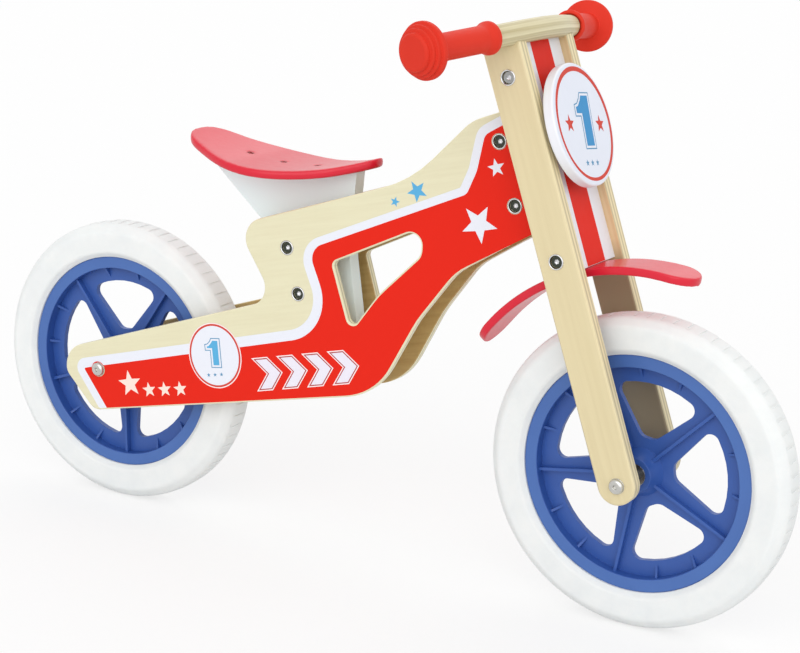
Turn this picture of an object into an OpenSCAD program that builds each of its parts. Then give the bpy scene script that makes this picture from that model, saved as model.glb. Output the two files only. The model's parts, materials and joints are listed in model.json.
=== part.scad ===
// Wooden balance bike for a small child: two plywood side panels that
// converge towards the head, a raked two-legged fork that steers on a long
// bolt, two foam-tyred wheels on sealed bearings and a bent plywood saddle.
// Millimetres. The origin is on the ground, midway between the wheels, in
// the middle plane; +X points forwards and +Z up.

/* [Wheels] */
// Distance between the two axles
wheelbase = 596; // [580:1:640]
// Outside radius of a tyre
tyre_r = 150; // [146:1:156]
// Greatest width of a tyre
tyre_w = 41; // [38:0.5:44]
// Radius of the rim's seat for the tyre
flange_r = 113.5; // [111:0.5:118]
// Width of the rim at the tyre
flange_w = 29; // [27:0.5:31]
// Number of spokes in a rim
spokes = 5; // [4:1:6]
// Width of a spoke at its outer end
spoke_w = 18; // [14:1:24]
// Width of a spoke at its inner end
spoke_root_w = 28; // [24:1:29]
// Thickness of the web that the windows are cut in
web_t = 6; // [4:0.5:8]
// Width over the two ends of a hub
hub_w = 36; // [34:1:44]
// Number of tread blocks round a tyre
tread_blocks = 72; // [60:1:84]

/* [Side panels] */
// Thickness of the plywood side panels
panel_t = 9; // [8:0.5:10]
// Distance over the panels at the rear axle
panel_span = 104; // [100:1:112]
// Angle by which each panel converges forwards
panel_taper = 3.43; // [3.3:0.01:3.55]
// Distance of the two head bolts from the panels' upper and lower edges
head_margin = 26; // [22:0.5:28]
// Width of the panels' round rear end
tail_h = 25; // [24:1:32]

/* [Fork] */
// Angle of the fork from the vertical
rake = 20.5; // [19:0.1:22]
// Width of a fork leg, seen from the side
leg_w = 37; // [36:0.5:42]
// Thickness of a fork leg
leg_t = 15; // [13:0.5:18]
// Distance between the two fork legs
fork_gap = 82; // [78:1:86]
// Length of a fork leg above the axle
leg_len = 410; // [407:1:425]
// Height of each of the two cross blocks
block_h = 27; // [24:0.5:28]
// Distance of the upper cross block's screws below the legs' upper ends
top_screw_down = 29; // [25:0.5:32]
// Distance of the steering bolt behind the legs' middle line
steer_back = 12; // [11:0.5:14]
// Diameter of the steering bolt
steer_d = 8; // [6:0.5:8]
// Radius of the head block's nose round the steering bolt
nose_r = 13.5; // [12.5:0.5:14]
// Thickness of the front board
board_t = 6; // [5:0.5:6.5]

/* [Saddle] */
// Length of the saddle
seat_len = 214; // [200:1:224]
// Width of the saddle
seat_w = 117; // [105:1:125]
// Thickness of the saddle
seat_t = 9; // [8:0.5:10]
// Radius of the saddle's upper face, seen from the side
seat_curve = 288; // [260:4:340]
// Height of the saddle's lowest point above the rear axle
seat_rise = 238.5; // [234:0.5:250]
// Thickness of the seat post
post_t = 16; // [14:0.5:18]
// Distance between neighbouring seat screws
seat_screw_pitch = 40; // [32:1:42]

/* [Handlebar] */
// Diameter of the handlebar
bar_d = 21; // [19:0.5:22]
// Radius of the bar's two bends, at its middle line
bar_bend = 150; // [100:5:150]
// Angle by which each end sweeps back
sweep = 13.6; // [12:0.1:14.2]
// Distance from a bend to the grip
grip_start = 42; // [38:1:50]
// Length of a grip
grip_len = 101.5; // [92:0.5:110]
// Diameter of a grip's hand tube
grip_d = 24.5; // [24:0.5:28]
// Diameter of the flange that guards the hand
knob_d = 51; // [46:1:56]

/* [Number plate and mudguard] */
// Diameter of the number plate
plate_d = 115; // [100:1:118]
// Thickness of the number plate
plate_t = 10.5; // [9:0.5:12]
// Distance of the plate's centre below the legs' upper ends
plate_down = 86; // [80:1:100]
// Radius of the mudguard's upper face
guard_r = 197; // [194:0.5:200]
// Width of the mudguard
guard_w = 48; // [44:1:56]
// Thickness of the mudguard
guard_t = 8; // [6:0.5:9]
// Angle from the mudguard's crown to its front end
guard_front = 33.5; // [28:0.5:40]
// Angle from the mudguard's crown to its rear end
guard_rear = 38.5; // [30:0.5:42]

/* [Fasteners] */
// Diameter of the axle bolts
axle_d = 8; // [7:0.5:8]
// Diameter of the axle bolts' domed heads
dome_d = 14; // [13:0.5:15]
// Diameter of the frame bolts and the fork screws
bolt_d = 6; // [5:0.5:6.5]
// Outside diameter of a cup washer
cup_d = 15; // [14.5:0.5:17]
// Outside diameter of a wheel bearing
bearing_d = 22; // [20:0.5:24]
// Width of a wheel bearing
bearing_w = 7; // [6:0.5:8]

/* [Hidden] */

$fn = 64;
eps = 0.1;            // how far a cutter runs past the face that it opens
far = 80;             // half length of a cutter that runs right through
join = 0.05;          // overlap, and step, where two stretches of the bar meet
arc_step = 7.5;       // greatest angle between two points of a rounded corner
slip = 0.1;           // clearance of a bolt or pin in its hole, on the radius
run_fit = 0.08;       // clearance of a turning fit, on the radius
run_gap = 0.3;        // clearance between faces that slide past each other
facing = 0.8;         // depth of the spot faces that square a panel to a bolt

// Fork, in its own frame: x forwards, z up the leg, origin at the front axle
leg_front = 17;       // from the axle's line forwards to the legs' front faces
leg_rear = leg_w - leg_front;
board_inset = 8;      // from the legs' front faces back to the board
board_down = 4;       // from the legs' upper ends down to the board's
plate_stand = 4.5;    // from the legs' front faces to the back of the number plate
fork_screw_x = -2.3;
leg_y = fork_gap/2;
fork_y = leg_y + leg_t;
board_front = leg_front - board_inset;
board_back = board_front - board_t;
plate_back = leg_front + plate_stand;
low_screw_u = guard_r + block_h/2;
top_screw_u = leg_len - top_screw_down;
plate_u = leg_len - plate_down;
low_block_u = guard_r + block_h;
top_block_u = top_screw_u - block_h/2;
steer_x = -steer_back;
screw_len = 45;       // length of a fork screw below its head
saddle_r = 3;         // rounding of the upper end of a leg

// Steering head
bush_t = 2;           // thickness of a bush's flange
bush_d = 12;
bush_len = 18;
bush_flange_d = 22;
thrust_t = 1.2;       // thickness of a steering washer
nut_pocket = 8.5;     // depth of the pocket under the lower cross block
nut_pocket_d = 18;
head_gap = bush_t + thrust_t + run_gap;
nose_lo = low_block_u + head_gap;
nose_hi = top_block_u - head_gap;
head_front = steer_x - 12;
head_back = -64;
head_drop = 9.5;      // from the nose's top down to the panels' top edge
head_rise = 14;       // from the nose's bottom up to the panels' lower edge
head_hi = nose_hi - head_drop;
head_lo = nose_lo + head_rise;
head_bolt_x = [-45.5, -43.5];
head_bolt_u = [head_lo + head_margin, head_hi - head_margin];

// Handlebar: the middle line of its straight part, in the fork's frame
bar_x = 17.5;
bar_sink = 2.7;       // how deep the bar lies in the notches of the legs
bar_u = leg_len - bar_sink + bar_d/2;
bar_turn = leg_y - 1; // where the bends end, beside the legs
bar_mid = bar_turn - bar_bend*sin(sweep);   // half length of the straight middle
dowel_d = 6;
dowel_y = leg_y + leg_t/2;
dowel_x = bar_x - bar_bend*(1 - cos(sweep)) - (dowel_y - bar_turn)*tan(sweep);
dowel_down = 22;      // length of a dowel in the leg
dowel_up = 8;         // length of a dowel in the bar
grip_floor = 4;       // thickness of a grip's closed end

// Seat post, window and bolts, from the rear axle: x forwards, z up
seat_x = 199.5;       // the saddle's lowest point
seat_ahead = 100.5;   // from there to the saddle's nose
seat_screw_x = -10.5; // from there to the middle seat screw
seat_screw_len = 34;
post_bolts_at = [[221, 161.5], [235.3, 117]];
post_lean = 10.8;     // lean of the post's rear edge under its bend
post_tail = 105;      // from the saddle's lowest point to the post's rear tip
post_bend = [192, 160];  // the bend in the post's rear edge
post_foot = 84;       // height of the post's lower end
post_front = 274;     // the narrowest place of the post's front edge
post_splay = 13.7;    // how far its foot reaches ahead of that
post_flare = 7.7;     // how far its upper end reaches ahead of that
spacer_front = 253;   // front edge of the post spacers
spacer_top = 172;     // height of the post spacers' upper end
spacer_foot = 90;     // height of the post spacers' lower end

// Wheels
rim_in = 101;         // inside radius of the rim's flanged ring
window_out = 86;      // radius of the windows' outer edge
window_in = 34.2;     // radius of the windows' inner corners
rib_t = 3;            // thickness of the rib along a spoke
rib_y = 9.5;          // how far the ribs stand out from the middle plane
stub_t = 2.5;         // thickness of the short ribs outside the windows
stub_at = 12;         // angle of the short ribs from the middle of a window
hub_wall = 5.7;       // wall of the hub round a bearing
hub_mouth = 0.7;      // widening of the bore outside a bearing
bearing_lip = 2.5;    // width of the ledge that a bearing seats on
bearing_in = 1;       // how far a bearing lies inside the end of the hub
race_d = 12;          // outside diameter of a bearing's inner race
key_w = 10;           // width of the rim's rib that keys the tyre
key_h = 4;            // height of that rib
tread_t = 1.2;        // depth of the tread's grooves
tread_gap = 3;        // width of the tread's grooves
front_phase = 45.6;   // angle of the front wheel's first spoke
rear_phase = 57.5;    // angle of the rear wheel's first spoke
spacer_d = 12;        // outside diameter of an axle spacer

// Fasteners
cup_t = 1.2;          // height of a cup washer over the wood
cup_hole = 12;        // bore of a cup washer
cup_wall = 0.8;
cup_skirt = 1.5;      // length of the washer's skirt inside the counterbore
head_d = 11;          // diameter of a frame bolt's head
head_t = 3;           // height of a frame bolt's head
head_sink = 4.5;      // depth of a counterbore
hex = 4;              // hexagon socket of a frame bolt
barrel_d = bolt_d + 3;
barrel_len = 19;      // length of a sleeve nut below its head
thread_end = 8;       // from the sleeve nut's head to the end of the bolt
dome_t = 3.6;         // height of a domed head
dome_edge = 1.2;      // height of a domed head's rim
dome_crown = 3.4;     // radius of a domed head's flat top
dome_hex = 4;         // hexagon socket of a domed head
washer_t = 1;         // thickness of an axle washer
washer_d = 15;
nut_hex = 13;         // width of the axle and steering nuts over their flats
nut_t = 6.5;
cap_t = 2.5;          // height of an axle nut's cap
wood_screw_d = 4;
wood_head_d = 7;
wood_head_sink = 0.2; // depth of a countersunk head under the face
wood_hex = 3;         // hexagon socket of a wood screw
plate_screw_y = 20;   // distance of the number plate's screws from the middle
plate_spacer_d = 60;  // diameter of the disc behind the number plate
guard_screw_y = 16;   // distance of the mudguard's screws from the middle
guard_screw_a = 3;    // angle of those screws behind the mudguard's crown
guard_screw_len = 20; // length of those screws above their heads
pan_d = 8;            // diameter of their pan heads
pan_t = 2.4;          // height of their pan heads
guard_x = -4;         // centre of the mudguard's curve, ahead of the axle

// ---------------------------------------------------------------- helpers

function unit(v) = v/norm(v);

// A point at radius r and angle a
function polar(r, a) = [r*cos(a), r*sin(a)];

// The points of one corner, q = [x, y, radius], between p and n
function corner(p, q, n) =
    let (c = [q[0], q[1]],
         a = unit([p[0], p[1]] - c),
         b = unit([n[0], n[1]] - c),
         half = acos(a*b)/2,
         m = c + unit(a + b)*q[2]/sin(half),
         s = c + a*q[2]/tan(half) - m,
         e = c + b*q[2]/tan(half) - m,
         from = atan2(s[1], s[0]),
         turn = atan2(s[0]*e[1] - s[1]*e[0], s*e),
         k = max(2, ceil(abs(turn)/arc_step)))
    q[2] == 0 ? [c] : [for (i = [0:k]) m + polar(q[2], from + turn*i/k)];

// An outline from corners [x, y, radius], with its round stretches as arcs
function rounded(pts) =
    let (k = len(pts))
    [for (i = [0:k - 1]) each corner(pts[(i + k - 1) % k], pts[i], pts[(i + 1) % k])];

// The corners of one half, and the same ones mirrored in the x axis
function both_halves(pts) =
    concat(pts, [for (i = [len(pts) - 1:-1:0]) if (pts[i][1] != 0)
        [pts[i][0], -pts[i][1], pts[i][2]]]);

// A point of the fork's frame, seen from the side, measured from the rear axle
function fork_point(x, u) = [
    wheelbase + x*cos(rake) - u*sin(rake),
    x*sin(rake) + u*cos(rake)
];

// Half distance over and inside the panels, x ahead of the rear axle
function panel_y(x) = panel_span/2 - x*tan(panel_taper);
function panel_in(x) = panel_y(x) - panel_t/cos(panel_taper);

module rear_frame() translate([-wheelbase/2, 0, tyre_r]) children();
module fork_frame() translate([wheelbase/2, 0, tyre_r]) rotate([0, -rake, 0]) children();

// A cylinder along Y at x, z from y0 to y1
module rod(x, z, y0, y1, d) {
    translate([x, y0, z]) rotate([-90, 0, 0]) cylinder(h = y1 - y0, d = d);
}

// A tube along Y at x, z from y0 to y1
module tube(x, z, y0, y1, d, bore) {
    difference() {
        rod(x, z, y0, y1, d);
        rod(x, z, y0 - eps, y1 + eps, bore);
    }
}

// A shape of the X-Z plane, made solid from y0 to y1
module slab(y0, y1) {
    translate([0, y1, 0]) rotate([90, 0, 0]) linear_extrude(y1 - y0) children();
}

// A shape turned about the Y axis; in the shape, x is the radius
module turned() rotate([90, 0, 0]) rotate_extrude() children();

// The children, and their mirror image in the middle plane
module both_sides() {
    children();
    mirror([0, 1, 0]) children();
}

// A ring that lies flat, with its lower face at z = 0
module washer(t, d, bore) {
    difference() {
        cylinder(h = t, d = d);
        translate([0, 0, -eps]) cylinder(h = t + 2*eps, d = bore);
    }
}

// Domed head on the face z = 0, with a hexagon socket
module domed_head() {
    difference() {
        rotate_extrude() polygon(concat([[0, 0], [dome_d/2, 0]],
            [for (a = [0:15:90]) [dome_crown + (dome_d/2 - dome_crown)*cos(a),
                dome_edge + (dome_t - dome_edge)*sin(a)]], [[0, dome_t]]));
        translate([0, 0, dome_edge]) cylinder(h = dome_t, d = dome_hex/cos(30), $fn = 6);
    }
}

// Hexagon nut on the face z = 0, open below for the bolt's end
module capped_nut(t, bore) {
    difference() {
        union() {
            cylinder(h = t, d = nut_hex/cos(30), $fn = 6);
            translate([0, 0, t - eps]) cylinder(h = cap_t + eps, d1 = nut_hex - 1, d2 = nut_hex/2);
        }
        translate([0, 0, -eps]) cylinder(h = t + eps, d = bore);
    }
}

// Round head of a frame bolt, with its lower face at z = 0
module socket_head() {
    difference() {
        cylinder(h = head_t, d = head_d);
        translate([0, 0, 1]) cylinder(h = head_t, d = hex/cos(30), $fn = 6);
    }
}

// Cup washer on the face z = 0; its skirt hangs into a counterbore
module cup_washer() {
    rotate_extrude() polygon([
        [cup_hole/2, -cup_skirt], [cup_hole/2 + cup_wall, -cup_skirt],
        [cup_hole/2 + cup_wall, 0], [cup_d/2, 0], [cup_d/2, 0.4],
        [cup_d/2 - 0.5, cup_t], [cup_hole/2 + 0.4, cup_t], [cup_hole/2, cup_t - 0.5]]);
}

// Countersunk wood screw in the face z = 0, and the hole for it
module countersunk(len) {
    difference() {
        union() {
            translate([0, 0, -len]) cylinder(h = len - wood_head_sink, d = wood_screw_d);
            translate([0, 0, -wood_head_d/2 - wood_head_sink])
                cylinder(h = wood_head_d/2, d1 = 0, d2 = wood_head_d);
        }
        translate([0, 0, -wood_hex/2]) cylinder(h = wood_hex, d = wood_hex/cos(30), $fn = 6);
    }
}
module countersunk_bore(len) {
    translate([0, 0, -len]) cylinder(h = len + far, d = wood_screw_d + 2*slip);
    translate([0, 0, -wood_head_d/2 - wood_head_sink - slip])
        cylinder(h = wood_head_d, d1 = 0, d2 = 2*wood_head_d);
}

// Turns +Z to -Y at x, z on the right side's face y
module on_right(x, z, y) translate([x, -y, z]) rotate([90, 0, 0]) children();

// ------------------------------------------------------------ side panels

head_top = fork_point(head_front, head_hi);
head_bottom = fork_point(head_front, head_lo);

// Outline of a side panel, from the lower rear corner round the front
panel_outline = [
    [-5, -46, 14],
    [wheelbase - 269, 28.5, 70],
    [wheelbase - 228, 110, 120],
    [wheelbase - 190.5, 162.7, 60],
    [head_bottom[0], head_bottom[1], 4],
    [head_top[0], head_top[1], 6],
    [head_top[0] - 37.8, head_top[1] - 15.4, 45],
    [wheelbase - 244, 244.7, 130],
    [162, 176.8, 22],
    [208.3, 106.5, 20],
    [-41, tail_h - 8.5, 0.72*tail_h + 7.5],
    [-41, -8.5, 14]
];

// The window between the seat post and the head
window_outline = [
    [273, 154.1, 6], [296, 88.8, 6], [wheelbase - 272, 129.6, 100],
    [wheelbase - 228.7, 174.3, 14], [wheelbase - 228.7, 201.4, 11]
];

head_bolts_at = [for (i = [0, 1]) fork_point(head_bolt_x[i], head_bolt_u[i])];
frame_bolts_at = concat(head_bolts_at, post_bolts_at);

// Depth, from the middle plane, of the face that a cup washer lies on
function cup_face(p) = panel_y(p[0]) - facing;
// Depth of the face that a bolt's head lies on
function bolt_face(p) = cup_face(p) - head_sink;

// The right panel; hole is the bore for a bolt or a sleeve nut
module side_panel(hole) {
    rear_frame() difference() {
        translate([0, -panel_span/2, 0]) rotate([0, 0, panel_taper]) slab(0, panel_t)
            difference() {
                polygon(rounded(panel_outline));
                polygon(rounded(window_outline));
            }
        for (p = frame_bolts_at) {
            rod(p[0], p[1], -far, -cup_face(p), cup_d + 2*slip);
            rod(p[0], p[1], -far, -bolt_face(p), cup_hole + 2*cup_wall + 2*slip);
            rod(p[0], p[1], -far, 0, hole + 2*slip);
        }
        rod(0, 0, -far, 0, axle_d + 2*slip);
        rod(0, 0, -far, -panel_span/2 + facing, washer_d + 1);
        rod(0, 0, -panel_in(0) - facing, 0, spacer_d + 1);
    }
}
module right_side_panel() color("burlywood") side_panel(bolt_d);
module left_side_panel() color("burlywood") mirror([0, 1, 0]) side_panel(barrel_d);

// The space between the panels from x0 to x1
module between_panels(x0, x1) {
    translate([0, 0, -far]) linear_extrude(8*far) polygon([
        [x0, -panel_in(x0)], [x1, -panel_in(x1)], [x1, panel_in(x1)], [x0, panel_in(x0)]]);
}

// Bores of the frame bolts: a bolt on the right, its sleeve nut on the left
module bolt_bores(points) {
    for (p = points) {
        rod(p[0], p[1], -far, far, bolt_d + 2*slip);
        rod(p[0], p[1], bolt_face(p) - barrel_len - 1, far, barrel_d + 2*slip);
    }
}

// ------------------------------------------------------------------- head

module head_block() color("tan") difference() {
    union() {
        intersection() {
            rear_frame() between_panels(wheelbase/2, wheelbase);
            fork_frame() slab(-far, far) polygon(rounded([
                [head_back, head_lo + 6, 8], [steer_x, head_lo + 3, 0],
                [steer_x, head_hi - 3, 0], [head_back, head_hi - 3, 8]]));
        }
        fork_frame() translate([steer_x, 0, nose_lo]) cylinder(h = nose_hi - nose_lo, r = nose_r);
    }
    fork_frame() translate([steer_x, 0, 0]) {
        cylinder(h = 2*nose_hi, d = steer_d + 2*run_gap);
        cylinder(h = nose_lo + bush_len + run_gap, d = bush_d + 2*slip);
        translate([0, 0, nose_hi - bush_len - run_gap]) cylinder(h = far, d = bush_d + 2*slip);
    }
    rear_frame() bolt_bores(head_bolts_at);
}

// Flanged bush that hangs in the bore below z = 0
module bush() {
    difference() {
        union() {
            cylinder(h = bush_t, d = bush_flange_d);
            translate([0, 0, -bush_len]) cylinder(h = bush_len + eps, d = bush_d);
        }
        translate([0, 0, -far]) cylinder(h = 2*far, d = steer_d + 2*run_fit);
    }
}
module head_bushes() color("dimgray") fork_frame() {
    translate([steer_x, 0, nose_hi]) bush();
    translate([steer_x, 0, nose_lo]) mirror([0, 0, 1]) bush();
}

// Bolts that enter from the right, one at each point
module frame_bolts(points) {
    rear_frame() for (p = points) {
        on_right(p[0], p[1], bolt_face(p)) socket_head();
        rod(p[0], p[1], -bolt_face(p) - eps, bolt_face(p) - thread_end, bolt_d);
    }
}

// Sleeve nuts that enter from the left
module frame_nuts(points) {
    rear_frame() mirror([0, 1, 0]) for (p = points) {
        on_right(p[0], p[1], bolt_face(p)) socket_head();
        tube(p[0], p[1], -bolt_face(p), -bolt_face(p) + barrel_len, barrel_d, bolt_d + 2*slip);
    }
}

module frame_cups(points) {
    rear_frame() both_sides() for (p = points) on_right(p[0], p[1], cup_face(p)) cup_washer();
}

module head_bolts() color("silver") frame_bolts(head_bolts_at);
module head_nuts() color("silver") frame_nuts(head_bolts_at);
module head_cup_washers() color("gainsboro") frame_cups(head_bolts_at);

// ----------------------------------------------------------------- saddle

seat_c = [seat_x, seat_rise + seat_curve];   // centre of the saddle's curve
under_r = seat_curve + seat_t;               // radius of its lower face
seat_screw_a = [for (i = [-1:1]) 2*asin((seat_screw_x + i*seat_screw_pitch)/2/seat_curve)];

// Plan of the saddle: corners of its left half, from the tail to the nose
seat_plan = let (tail = seat_ahead - seat_len, h = seat_w/2) [
    [tail, 0.47*h, 34], [tail + 0.407*seat_len, 1.128*h, 103], [seat_ahead - 38, 0.62*h, 45],
    [seat_ahead, 0.17*h, 16]
];

// The axis of the seat screw at angle a, with z = 0 on the upper face
module on_seat(a) {
    translate([seat_c[0], 0, seat_c[1]]) rotate([0, -a, 0]) translate([0, 0, -seat_curve])
        children();
}

module seat() color("crimson") rear_frame() difference() {
    intersection() {
        slab(-far, far) difference() {
            translate(seat_c) circle(r = under_r, $fn = 180);
            translate(seat_c) circle(r = seat_curve, $fn = 180);
        }
        translate([seat_x, 0, seat_rise - far]) linear_extrude(2*far)
            polygon(rounded(both_halves(seat_plan)));
    }
    for (a = seat_screw_a) on_seat(a) countersunk_bore(seat_screw_len);
}
module seat_screws() color("silver") rear_frame()
    for (a = seat_screw_a) on_seat(a) countersunk(seat_screw_len);

// A point of the post's rear edge at height z
function post_rear(z) = post_bend[0] + (post_bend[1] - z)*tan(post_lean);

// The post's outline runs up past the saddle, whose lower face then cuts it
post_outline = let (top = seat_rise + seat_t + post_bend[1]/4, tail = seat_x - post_tail) [
    [tail, seat_rise + seat_t/2, 0], [post_bend[0], post_bend[1], 22],
    [post_rear(post_foot), post_foot, 8], [post_front + post_splay, post_foot, 8],
    [post_front, post_bend[1], 80], [post_front + post_flare, top, 0], [tail, top, 0]];

module seat_post() color("white") rear_frame() difference() {
    slab(-post_t/2, post_t/2) difference() {
        polygon(rounded(post_outline));
        translate(seat_c) circle(r = under_r, $fn = 180);
    }
    bolt_bores(post_bolts_at);
    for (a = seat_screw_a) on_seat(a) countersunk_bore(seat_screw_len + 1);
}

// Wedge between the post and the right panel
spacer_outline = let (back = 6.5) [
    [post_rear(spacer_top) + back, spacer_top, 6], [post_rear(spacer_foot) + back, spacer_foot, 6],
    [spacer_front, spacer_foot, 6], [spacer_front - back, spacer_top, 6]
];
module post_spacer() rear_frame() intersection() {
    between_panels(0, wheelbase/2);
    slab(-far, -post_t/2) polygon(rounded(spacer_outline));
}
module right_post_spacer() color("tan") difference() {
    post_spacer();
    rear_frame() bolt_bores(post_bolts_at);
}
module left_post_spacer() color("tan") difference() {
    mirror([0, 1, 0]) post_spacer();
    rear_frame() bolt_bores(post_bolts_at);
}

module post_bolts() color("silver") frame_bolts(post_bolts_at);
module post_nuts() color("silver") frame_nuts(post_bolts_at);
module post_cup_washers() color("gainsboro") frame_cups(post_bolts_at);

// ------------------------------------------------------------------ axles

race_y = hub_w/2 - bearing_in;     // outer face of a bearing

// An axle's pieces, about the Y axis; face is where its washers' outer
// faces lie, and wall is the inner face of what carries the axle
module axle_bolt(face) {
    on_right(0, 0, face) domed_head();
    rod(0, 0, -face - eps, face + nut_t - 1, axle_d);
}
module axle_nut(face) mirror([0, 1, 0]) on_right(0, 0, face)
    capped_nut(nut_t, axle_d + 2*slip);
module axle_washers(face) both_sides() on_right(0, 0, face - washer_t)
    washer(washer_t, washer_d, axle_d + 2*slip);
module axle_spacers(wall) both_sides() tube(0, 0, race_y, wall, spacer_d, axle_d + 2*slip);
module hub_sleeve() tube(0, 0, bearing_w - race_y, race_y - bearing_w, race_d, axle_d + 2*slip);
module inner_races() both_sides() tube(0, 0, race_y - bearing_w, race_y, race_d, axle_d + 2*slip);

rear_face = panel_span/2 - facing + washer_t;
rear_wall = panel_in(0) + facing;
front_face = fork_y + washer_t;

module rear_axle_bolt() color("silver") rear_frame() axle_bolt(rear_face);
module rear_axle_nut() color("silver") rear_frame() axle_nut(rear_face);
module rear_axle_washers() color("silver") rear_frame() axle_washers(rear_face);
module rear_axle_spacers() color("dimgray") rear_frame() axle_spacers(rear_wall);
module rear_hub_sleeve() color("silver") rear_frame() hub_sleeve();
module rear_inner_races() color("lightgray") rear_frame() inner_races();

module front_axle_bolt() color("silver") fork_frame() axle_bolt(front_face);
module front_axle_nut() color("silver") fork_frame() axle_nut(front_face);
module front_axle_washers() color("silver") fork_frame() axle_washers(front_face);
module front_axle_spacers() color("dimgray") fork_frame() axle_spacers(leg_y);
module front_hub_sleeve() color("silver") fork_frame() hub_sleeve();
module front_inner_races() color("lightgray") fork_frame() inner_races();

// ----------------------------------------------------------------- wheels

module rear_wheel() translate([-wheelbase/2, 0, tyre_r]) rotate([0, -rear_phase, 0]) children();
module front_wheel() translate([wheelbase/2, 0, tyre_r]) rotate([0, -front_phase, 0]) children();

sector = 180/spokes;              // half the angle between two spokes
hub_r = bearing_d/2 + hub_wall;

// Half of the rim's section: [radius, distance from the middle plane, rounding]
rim_half = let (seat_r = bearing_d/2, seat_y = race_y - bearing_w) [
    [seat_r - bearing_lip, 0, 0], [seat_r - bearing_lip, seat_y, 0], [seat_r, seat_y, 0],
    [seat_r, race_y, 0], [seat_r + hub_mouth, race_y, 0], [seat_r + hub_mouth, hub_w/2, 0],
    [hub_r, hub_w/2, 0.8], [hub_r + 2, rib_y + 2, 0],
    [hub_r + 7, web_t/2, 0], [rim_in, web_t/2, 0], [rim_in, flange_w/2, 1],
    [flange_r, flange_w/2, 1], [flange_r, key_w/2, 0], [flange_r + key_h, key_w/2 - 1, 0]
];

// One window, its middle on the x axis, with a round outer edge
window_corner_a = 8.5;             // how far the outer edge's corners lie past its arc
window_plan =
    let (r = window_out/cos(window_corner_a),
         a = sector - asin(spoke_w/2/r),
         inner = polar(window_in, sector - asin(spoke_root_w/2/window_in)),
         outer = polar(r, a))
    [[inner[0], -inner[1], 1.5*inner[1]], [outer[0], -outer[1], 8.5],
     [window_out/cos(a - window_corner_a), 0, window_out],
     [outer[0], outer[1], 8.5], [inner[0], inner[1], 1.5*inner[1]]];

// Side view of a short rib, from the edge of a window up the ring's inside
gusset = [
    [window_out + 1.5, -web_t/2 + 1], [rim_in + 1, -rib_y], [rim_in + 1, rib_y],
    [window_out + 1.5, web_t/2 - 1]
];

module rim() color("steelblue") difference() {
    union() {
        turned() polygon(rounded(both_halves(rim_half)));
        for (i = [0:spokes - 1]) rotate([0, -360*i/spokes, 0]) {
            translate([hub_r - 1, -rib_y, -rib_t/2]) cube([rim_in - hub_r + 2, 2*rib_y, rib_t]);
            for (a = [sector - stub_at, sector + stub_at]) rotate([0, -a, 0])
                translate([0, 0, -stub_t/2]) linear_extrude(stub_t) polygon(gusset);
        }
    }
    for (i = [0:spokes - 1]) rotate([0, -360*i/spokes - sector, 0])
        slab(-web_t, web_t) polygon(rounded(window_plan));
}

// Half of the tyre's section, as corners [radius, distance, rounding]
tyre_half = [
    [flange_r + key_h, key_w/2 - 1, 0], [flange_r, key_w/2, 0],
    [flange_r, flange_w/2 + 1.5, 1], [flange_r + 5, tyre_w/2, 6],
    [tyre_r - 10, tyre_w/2, 9], [tyre_r - 1.2, tyre_w/2 - 7.5, 9], [tyre_r + 0.49, 0, 60]
];
module tyre() color("whitesmoke") difference() {
    turned() polygon(rounded(both_halves(tyre_half)));
    for (i = [0:tread_blocks - 1]) rotate([0, -360*i/tread_blocks, 0])
        translate([tyre_r - tread_t, -tyre_w/2 + 6, -tread_gap/2])
            cube([far, tyre_w - 12, tread_gap]);
}

// Outer races and shields of the two bearings
module bearings() color("dimgray") both_sides()
    tube(0, 0, race_y - bearing_w, race_y, bearing_d, race_d + 2*run_fit);

module rear_tyre() rear_wheel() tyre();
module rear_rim() rear_wheel() rim();
module rear_bearings() rear_wheel() bearings();
module front_tyre() front_wheel() tyre();
module front_rim() front_wheel() rim();
module front_bearings() front_wheel() bearings();

// ------------------------------------------------------------------- fork

fork_screws_at = [for (u = [low_screw_u, top_screw_u]) [fork_screw_x, u]];

module bar_groove() swept_end() translate([0, 0, -leg_t]) cylinder(h = 3*leg_t, d = bar_d);

module dowel_bores() both_sides() translate([dowel_x, dowel_y, leg_len - dowel_down])
    cylinder(h = dowel_down + dowel_up + 1, d = dowel_d + 2*slip);

module fork_leg() difference() {
    slab(-fork_y, -leg_y) polygon(rounded([
        [-leg_rear, leg_len, saddle_r], [-leg_rear, -leg_w/2, leg_w/2 - eps],
        [leg_front, -leg_w/2, leg_w/2 - eps], [leg_front, leg_len, saddle_r/2]]));
    for (p = fork_screws_at) {
        rod(p[0], p[1], -far, -fork_y + head_sink, cup_hole + 2*cup_wall + 2*slip);
        rod(p[0], p[1], -far, 0, bolt_d + 2*slip);
    }
    rod(0, 0, -far, 0, axle_d + 2*slip);
    bar_groove();
    dowel_bores();
}
module right_fork_leg() color("whitesmoke") fork_frame() fork_leg();
module left_fork_leg() color("whitesmoke") fork_frame() mirror([0, 1, 0]) fork_leg();

// A cross block between the legs from u0 up, before it is drilled
module cross_block(u0) {
    translate([-leg_rear, -leg_y, u0]) cube([board_back + leg_rear, fork_gap, block_h]);
}

module fork_screw_bores() both_sides() for (p = fork_screws_at)
    rod(p[0], p[1], -far, -fork_y + head_sink + screw_len + 1, bolt_d + 2*slip);

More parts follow.
